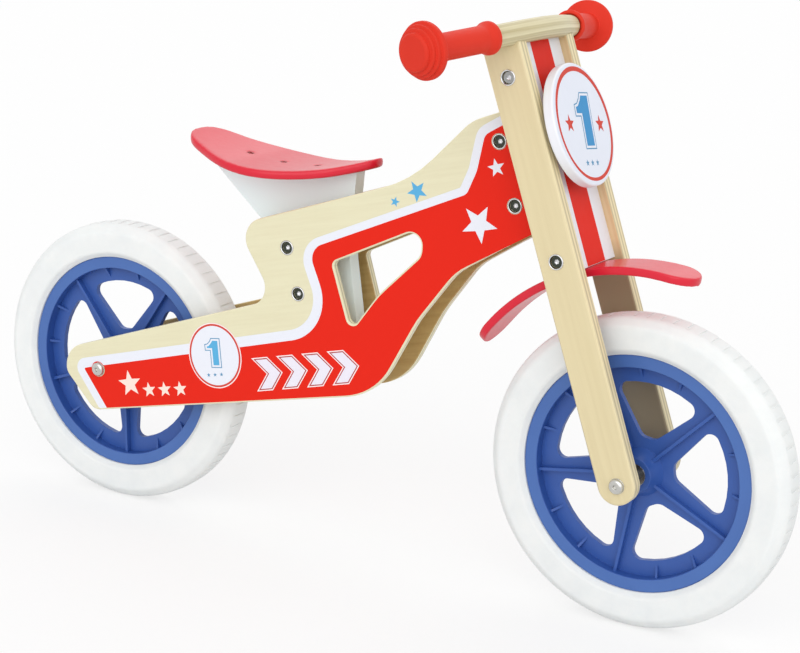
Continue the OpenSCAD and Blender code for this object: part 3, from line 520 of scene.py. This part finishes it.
def arc_corner(p, q, n, step=math.radians(6)):
    """The points of one rounded corner, q = (x, y, radius), between p and n."""
    c, radius = Vector(q[:2]), q[2]
    if radius == 0:
        return [c]
    a = (Vector(p[:2]) - c).normalized()
    b = (Vector(n[:2]) - c).normalized()
    half = math.acos(max(-1, min(1, a.dot(b)))) / 2
    middle = c + (a + b).normalized() * radius / math.sin(half)
    start = c + a * radius / math.tan(half) - middle
    end = c + b * radius / math.tan(half) - middle
    first = math.atan2(start.y, start.x)
    turn = math.atan2(start.x * end.y - start.y * end.x, start.dot(end))
    count = max(2, math.ceil(abs(turn) / step))
    return [middle + radius * Vector((math.cos(first + turn * i / count),
                                      math.sin(first + turn * i / count)))
            for i in range(count + 1)]


def rounded(corners):
    """The outline with these corners, each (x, y, radius)."""
    k = len(corners)
    return [p for i in range(k)
            for p in arc_corner(corners[i - 1], corners[i], corners[(i + 1) % k])]


def moved_out(corners, gaps):
    """Corners of the outline whose edge i, from corner i on, lies gaps[i] further out; corners run
    anticlockwise."""
    k = len(corners)
    lines = []
    for i in range(k):
        a, b = Vector(corners[i][:2]), Vector(corners[(i + 1) % k][:2])
        along = (b - a).normalized()
        out = Vector((along.y, -along.x))
        lines.append((a + out * gaps[i], along))
    made = []
    for i in range(k):
        (p, u), (q, v) = lines[i - 1], lines[i]
        cross = u.x * v.y - u.y * v.x
        t = ((q - p).x * v.y - (q - p).y * v.x) / cross
        gap = (gaps[i - 1] + gaps[i]) / 2
        radius = corners[i][2] + (gap if cross > 0 else -gap)
        made.append((*(p + u * t), max(radius, 0) if corners[i][2] or gap > 0 else 0))
    return made


def grown(corners, gap):
    """A plain polygon whose every edge lies gap further out."""
    return [Vector(p[:2]) for p in moved_out([(*c, 0) for c in corners], [gap] * len(corners))]


def oval(x, y, rx, ry, turn=0.0, count=96):
    c, d = math.cos(math.radians(turn)), math.sin(math.radians(turn))
    around = [2 * math.pi * i / count for i in range(count)]
    return [Vector((x + rx * math.cos(a) * c - ry * math.sin(a) * d,
                    y + rx * math.cos(a) * d + ry * math.sin(a) * c)) for a in around]


def circle(x, y, r, count):
    return oval(x, y, r, r, 0, count)


def star(x, y, r, turn, waist=0.42):
    """A five-pointed star; waist is the radius of its inner corners over that of its points."""
    points = []
    for i in range(10):
        radius = r if i % 2 == 0 else waist * r
        a = math.radians(90 + 36 * i + turn)
        points.append(Vector((x + radius * math.cos(a), y + radius * math.sin(a))))
    return points


def set_down(points, x, y, turn, mirror=1, lean=0.0):
    """Points about the origin, leaned, turned and moved to x, y; mirrored first on the left side."""
    c, d = math.cos(math.radians(turn)), math.sin(math.radians(turn))
    leaned = [(mirror * (p.x + lean * p.y), p.y) for p in points]
    placed = [Vector((x + px * c - py * d, y + px * d + py * c)) for px, py in leaned]
    return placed if mirror > 0 else placed[::-1]


# Numeral 1 of height 1, about the middle of its stem, and a chevron; both anticlockwise
NUMERAL_ONE = [(-0.204, -0.5), (0.204, -0.5), (0.204, 0.5), (-0.143, 0.5), (-0.198, 0.398),
               (-0.286, 0.312), (-0.403, 0.286), (-0.395, 0.07), (-0.204, 0.07)]
CHEVRON = [(-13, -15), (0, -15), (13, 0), (0, 15), (-13, 15), (0, 0)]


def numeral_one(height, inset):
    return grown([(x * height, y * height) for x, y in NUMERAL_ONE], -inset)


# -------------------------------------------------------------- printed design

PRINT_LIFT = 0.06                 # height of one printed layer over the next, mm


def face_matrix(origin, x_axis, y_axis):
    """From millimetres on a face to the row frame; +Z of the face points out of it."""
    x, y = x_axis.normalized(), y_axis.normalized()
    rows = Matrix((x, y, x.cross(y))).transposed().to_4x4()
    return Matrix.Translation(origin) @ rows @ Matrix.Scale(MM, 4)


def decal(name, face, layer, material, outline, holes=(), body="frame"):
    """A printed shape on a face, given as a matrix from millimetres on it to the row frame."""
    curve = bpy.data.curves.new(name, "CURVE")
    curve.dimensions = "2D"
    curve.fill_mode = "BOTH"
    for points in [outline, *holes]:
        spline = curve.splines.new("POLY")
        spline.points.add(len(points) - 1)
        for point, p in zip(spline.points, points):
            point.co = (p.x, p.y, 0, 1)
        spline.use_cyclic_u = True
    drawn = bpy.data.objects.new(name, curve)
    bpy.context.scene.collection.objects.link(drawn)
    bpy.context.view_layer.update()
    mesh = bpy.data.meshes.new_from_object(drawn.evaluated_get(bpy.context.evaluated_depsgraph_get()))
    bpy.data.objects.remove(drawn)
    bpy.data.curves.remove(curve)
    mesh.transform(face @ Matrix.Translation((0, 0, layer * PRINT_LIFT)))
    mesh.name = name
    shape = bmesh.new()
    shape.from_mesh(mesh)
    bmesh.ops.remove_doubles(shape, verts=shape.verts, dist=1e-6)
    outward = (face.to_3x3() @ UP).normalized()
    flipped = [f for f in shape.faces if f.normal.dot(outward) < 0]
    if flipped:
        bmesh.ops.reverse_faces(shape, faces=flipped)
    shape.to_mesh(mesh)
    shape.free()
    mesh.materials.clear()
    mesh.materials.append(MATERIALS[material])
    piece = bpy.data.objects.new(name, mesh)
    bpy.context.scene.collection.objects.link(piece)
    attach(piece, body)


# The side panels' design: x forwards and y up from the rear axle, corners as (x, y, radius)
PANEL_LOW_EDGE = [(-5, -46, 14), (327, 28.5, 70), (368, 110, 120), (405.5, 162.7, 60), (489, 217.8, 4)]
PANEL_WINDOW = [(273, 154.1, 6), (296, 88.8, 6), (324, 129.6, 100), (367.3, 174.3, 14),
                (367.3, 201.4, 11)]
BARE = EDGE_ROUND + 0.1           # bare wood left along the panel's edges
RED_REAR_X, LOW_EDGE_SLOPE = 11.5, 0.2245      # the red's rear end on the lower edge
RED_HEAD = [(486, 214.5, 0), (449, 311.5, 0)]
RED_TOP_EDGE = [(426.3, 297, 10), (420.3, 262, 30), (411.3, 239.3, 9), (245.4, 163.5, 16),
                (280.8, 83.0, 45), (-18.1, -1.8, 1.5)]
# Width of the white band beside each edge of the red, from its first corner on
WHITE_BAND = [0, 0, 0, 0, 0, 8.5, 8.5, 8.5, 7.9, 10.5, 10.6, 9.0]
HEAD_BOLTS = [(441.0, 292.5), (460.5, 234.6)]
CUP_R, AXLE_WASHER_R = 7.75, 8.2               # what the print leaves free

WHITE_STARS = [(425.8, 213.2, 19, -24), (439.8, 267.9, 9, 18)]         # x, y, radius, turn
BLUE_STARS = [(360.1, 235.8, 11, -35), (337.4, 222.7, 5.3, -11)]
CREAM_STARS = [(40, -9, 14.5), (64, -11.6, 8.5), (83, -7.8, 8.5), (102, -4, 8.5)]
TAIL_SLOPE = 14.0                              # turn of what stands on the tail's middle line
CHEVRON_AT, CHEVRON_STEP, CHEVRONS = (206.5, 30.4), (28.5, 7.1), 4
CHEVRON_LAYERS = ((3, "pale_red", 2.2), (4, "deep_red", 1.1), (5, "lilac_white", 0))

ROUNDEL, ROUNDEL_TILT = (142.6, 38.4), 8.0
ROUNDEL_OVALS = (("roundel_edge", 3, "pale_red", (31.3, 34.0)),
                 ("roundel_ring", 4, "ring_red", (30.2, 32.9)),
                 ("roundel", 5, "print_white", (28.2, 30.9)))
ROUNDEL_ONE_AT, ROUNDEL_ONE_HEIGHT = (143.2, 41.3), 31
ROUNDEL_ONE_LAYERS = ((6, "outline_blue", 0), (7, "print_white", 0.9), (8, "print_blue", 2.8))


def panel_print(side, face, mirror):
    """The whole design of one side panel; mirror is -1 on the left one, seen from outside."""
    def on(points):
        placed = [Vector((mirror * p.x, p.y)) for p in points]
        return placed if mirror > 0 else placed[::-1]

    def put(name, layer, material, outline, holes=()):
        decal(f"{side}_{name}", face, layer, material, on(outline), [on(h) for h in holes])

    low_edge = moved_out(PANEL_LOW_EDGE, [-BARE] * len(PANEL_LOW_EDGE))
    first_y = low_edge[0][1] + (RED_REAR_X - low_edge[0][0]) * LOW_EDGE_SLOPE
    red_corners = [(RED_REAR_X, first_y, 0), *low_edge[1:-1], *RED_HEAD, *RED_TOP_EDGE]
    holes = [rounded(moved_out(PANEL_WINDOW, [BARE] * len(PANEL_WINDOW))),
             circle(0, 0, AXLE_WASHER_R, 48), *(circle(x, y, CUP_R, 40) for x, y in HEAD_BOLTS)]
    put("print_white", 1, "print_white", rounded(moved_out(red_corners, WHITE_BAND)), holes)
    put("print_red", 2, "print_red", rounded(red_corners), holes)
    for i, place in enumerate(WHITE_STARS):
        put(f"white_star_{i + 1}", 3, "print_white", star(*place))
    for i, place in enumerate(BLUE_STARS):
        put(f"blue_star_{i + 1}", 1, "print_blue", star(*place))

    for name, layer, material, radii in ROUNDEL_OVALS:
        put(name, layer, material, oval(*ROUNDEL, *radii, ROUNDEL_TILT))
    for layer, material, inset in ROUNDEL_ONE_LAYERS:
        put(f"roundel_one_{layer}", layer, material, set_down(
            numeral_one(ROUNDEL_ONE_HEIGHT, inset), *ROUNDEL_ONE_AT, ROUNDEL_TILT, mirror))
    for i in range(3):
        put(f"roundel_star_{i + 1}", 6, "outline_blue",
            star(136.0 + 7.5 * i, 16.8 + 1.6 * i, 2.3, ROUNDEL_TILT))

    for i in range(CHEVRONS):
        x, y = (at + step * i for at, step in zip(CHEVRON_AT, CHEVRON_STEP))
        for layer, material, grow in CHEVRON_LAYERS:
            put(f"chevron_{i + 1}_{layer}", layer, material,
                set_down(grown(CHEVRON, grow), x, y, TAIL_SLOPE))
    for i, place in enumerate(CREAM_STARS):
        put(f"cream_star_{i + 1}", 3, "cream", star(*place, TAIL_SLOPE))


def print_panels():
    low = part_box("right_side_panel")[0]
    forward = Vector((math.cos(PANEL_TAPER), math.sin(PANEL_TAPER), 0))
    tail_to_axle = (rear_axle.x - low.x) / forward.x
    origin = Vector((low.x, low.y, rear_axle.z)) + forward * tail_to_axle
    panel_print("right", face_matrix(origin, forward, UP), 1)
    panel_print("left", face_matrix(Vector((origin.x, -origin.y, origin.z)),
                                    Vector((-forward.x, forward.y, 0)), UP), -1)


# The number plate's design: x to the rider's left and y up along the fork, from its middle
PLATE_TURN = -6.5
PLATE_ONE_AT, PLATE_ONE_HEIGHT, PLATE_ONE_TURN, PLATE_ONE_LEAN = (7.3, 2.3), 53.2, -6.0, 0.08
PLATE_ONE_LAYERS = ((1, "outline_blue", 0), (2, "print_white", 1.1), (3, "plate_blue", 3.2))
PLATE_STARS = [(-28.5, 3.3, 8.9), (32.1, -3.5, 8.9)]
PLATE_LOW_STARS = [(-13.0, -35.0, 3.4), (-3.0, -36.1, 3.4), (7.0, -37.2, 3.4)]


def print_plate():
    low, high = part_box("number_plate")
    middle = (low + high) / 2
    reach = max(v.co.dot(steer_ahead) for v in nodes["number_plate"].data.vertices)
    face = face_matrix(middle + steer_ahead * (reach - middle.dot(steer_ahead)), SIDE, steer_up)

    def put(name, layer, material, outline, holes=()):
        decal("plate_" + name, face, layer, material, outline, holes, body="fork")

    put("ring", 1, "ring_red", circle(1.5, 0.2, 53.4, 120), [circle(1.0, -0.4, 49.6, 120)[::-1]])
    for layer, material, inset in PLATE_ONE_LAYERS:
        put(f"one_{layer}", layer, material, set_down(
            numeral_one(PLATE_ONE_HEIGHT, inset), *PLATE_ONE_AT, PLATE_ONE_TURN, 1, PLATE_ONE_LEAN))
    for i, place in enumerate(PLATE_STARS):
        put(f"star_{i + 1}", 1, "ring_red", star(*place, PLATE_TURN))
    for i, place in enumerate(PLATE_LOW_STARS):
        put(f"low_star_{i + 1}", 1, "outline_blue", star(*place, PLATE_TURN))


BOARD_END = 4.8                   # what the front board lacks up to the handlebar, mm
BOARD_END_SUNK = 2.0              # how far the piece that adds it reaches into the board, mm
BOARD_END_PROUD = 0.02            # it stands this far out of the board's face, mm
STRIPE_HALF = 19.0                # half width of the red stripe, mm


def dress_board():
    """The front board's top end, up under the handlebar, and the red stripe down the board."""
    low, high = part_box("front_board")
    places = [v.co for v in nodes["front_board"].data.vertices]
    ahead = [co.dot(steer_ahead) for co in places]
    up = [co.dot(steer_up) for co in places]
    face = face_matrix(steer_ahead * max(ahead) + steer_up * min(up), SIDE, steer_up)
    width, thick, height = (d / MM for d in (high.y - low.y, max(ahead) - min(ahead), max(up) - min(up)))

    shape = bmesh.new()
    bmesh.ops.create_cube(shape, size=1.0)
    size = (width, BOARD_END + BOARD_END_SUNK, thick, 1)
    middle = (0, height + (BOARD_END - BOARD_END_SUNK) / 2, BOARD_END_PROUD - thick / 2)
    bmesh.ops.transform(shape, verts=shape.verts,
                        matrix=face @ Matrix.Translation(middle) @ Matrix.Diagonal(size))
    mesh = bpy.data.meshes.new("board_top_end")
    shape.to_mesh(mesh)
    shape.free()
    mesh.materials.append(MATERIALS["white_paint"])
    piece = bpy.data.objects.new("board_top_end", mesh)
    bpy.context.scene.collection.objects.link(piece)
    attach(piece, "fork")

    bottom, top = 0.5, height + BOARD_END - 0.2
    decal("board_stripe", face, 1, "print_red", [Vector(p) for p in (
        (-STRIPE_HALF, bottom), (STRIPE_HALF, bottom), (STRIPE_HALF, top), (-STRIPE_HALF, top))],
          body="fork")


print_panels()
print_plate()
dress_board()


# ------------------------------------------------------------ camera and light

CAMERA_AT = Vector((0.9526, -1.6349, 0.7276))
CAMERA_LENS = 88.85
AZIMUTH, ELEVATION, ROLL = (math.radians(a) for a in (29.35, 14.49, 2.91))

WORLD_LIT, WORLD_SEEN = 0.70, 0.99
# Three broad suns: the direction from the object to each, and its strength
SUNS = {"key": ((0.25, -1.0, 0.5), 1.1), "fill": ((1.0, -0.3, 0.6), 0.35),
        "back": ((-0.3, 0.9, 1.0), 0.5)}
SUN_WIDTH = math.radians(60)
FLOOR_HALF = 14.0
FLOOR_LIT = 0.8                   # the floor's reflectance for the light that it throws on the bike
FLOOR_SHADE, FLOOR_GLOW = 0.30, 0.685     # as it is seen: the part that takes shadow, and its own light


def add_camera():
    camera = bpy.data.objects.new("camera", bpy.data.cameras.new("camera"))
    camera.data.lens = CAMERA_LENS
    camera.data.sensor_width = 36.0
    back = Vector((math.sin(AZIMUTH) * math.cos(ELEVATION), -math.cos(AZIMUTH) * math.cos(ELEVATION),
                   math.sin(ELEVATION)))
    right = UP.cross(back).normalized()
    up = back.cross(right)
    turned = right * math.cos(ROLL) + up * math.sin(ROLL)
    raised = up * math.cos(ROLL) - right * math.sin(ROLL)
    axes = Matrix((turned, raised, back)).transposed().to_4x4()
    camera.matrix_world = Matrix.Translation(CAMERA_AT) @ axes
    bpy.context.scene.collection.objects.link(camera)
    bpy.context.scene.camera = camera


def where_seen(tree, lit, seen):
    """The shader that camera, glossy and transmission rays find as seen, and other light as lit."""
    path = tree.nodes.new("ShaderNodeLightPath").outputs
    factor = path["Is Camera Ray"]
    for ray in ("Is Glossy Ray", "Is Transmission Ray"):
        either = tree.nodes.new("ShaderNodeMath")
        either.operation = "MAXIMUM"
        tree.links.new(factor, either.inputs[0])
        tree.links.new(path[ray], either.inputs[1])
        factor = either.outputs[0]
    mix = tree.nodes.new("ShaderNodeMixShader")
    for source, socket in zip((factor, lit, seen), mix.inputs):
        tree.links.new(source, socket)
    return mix.outputs[0]


def add_world():
    world = bpy.data.worlds.new("studio")
    bpy.context.scene.world = world
    world.use_nodes = True
    tree = world.node_tree
    lit, seen = tree.nodes["Background"], tree.nodes.new("ShaderNodeBackground")
    for node, strength in ((lit, WORLD_LIT), (seen, WORLD_SEEN)):
        node.inputs["Color"].default_value = grey(1)
        node.inputs["Strength"].default_value = strength
    tree.links.new(where_seen(tree, lit.outputs[0], seen.outputs[0]),
                   tree.nodes["World Output"].inputs[0])


def add_suns():
    for name, (direction, strength) in SUNS.items():
        lamp = bpy.data.lights.new(name, "SUN")
        lamp.energy = strength
        lamp.angle = SUN_WIDTH
        piece = bpy.data.objects.new(name, lamp)
        piece.rotation_euler = Vector(direction).to_track_quat("Z", "Y").to_euler()
        bpy.context.scene.collection.objects.link(piece)


def add_floor():
    mesh = bpy.data.meshes.new("floor")
    corners = [(-1, -1), (1, -1), (1, 1), (-1, 1)]
    mesh.from_pydata([(x * FLOOR_HALF, y * FLOOR_HALF, 0) for x, y in corners], [], [(0, 1, 2, 3)])
    floor = bpy.data.objects.new("floor", mesh)
    bpy.context.scene.collection.objects.link(floor)
    material = bpy.data.materials.new("floor")
    material.use_nodes = True
    tree = material.node_tree
    tree.nodes.clear()
    plain, shaded = (tree.nodes.new("ShaderNodeBsdfDiffuse") for _ in range(2))
    plain.inputs["Color"].default_value = grey(FLOOR_LIT)
    shaded.inputs["Color"].default_value = grey(FLOOR_SHADE)
    glow = tree.nodes.new("ShaderNodeEmission")
    glow.inputs["Strength"].default_value = FLOOR_GLOW
    both = tree.nodes.new("ShaderNodeAddShader")
    tree.links.new(shaded.outputs[0], both.inputs[0])
    tree.links.new(glow.outputs[0], both.inputs[1])
    tree.links.new(where_seen(tree, plain.outputs[0], both.outputs[0]),
                   tree.nodes.new("ShaderNodeOutputMaterial").inputs[0])
    mesh.materials.append(material)


add_camera()
add_world()
add_suns()
add_floor()
bpy.context.scene.view_settings.view_transform = "Standard"
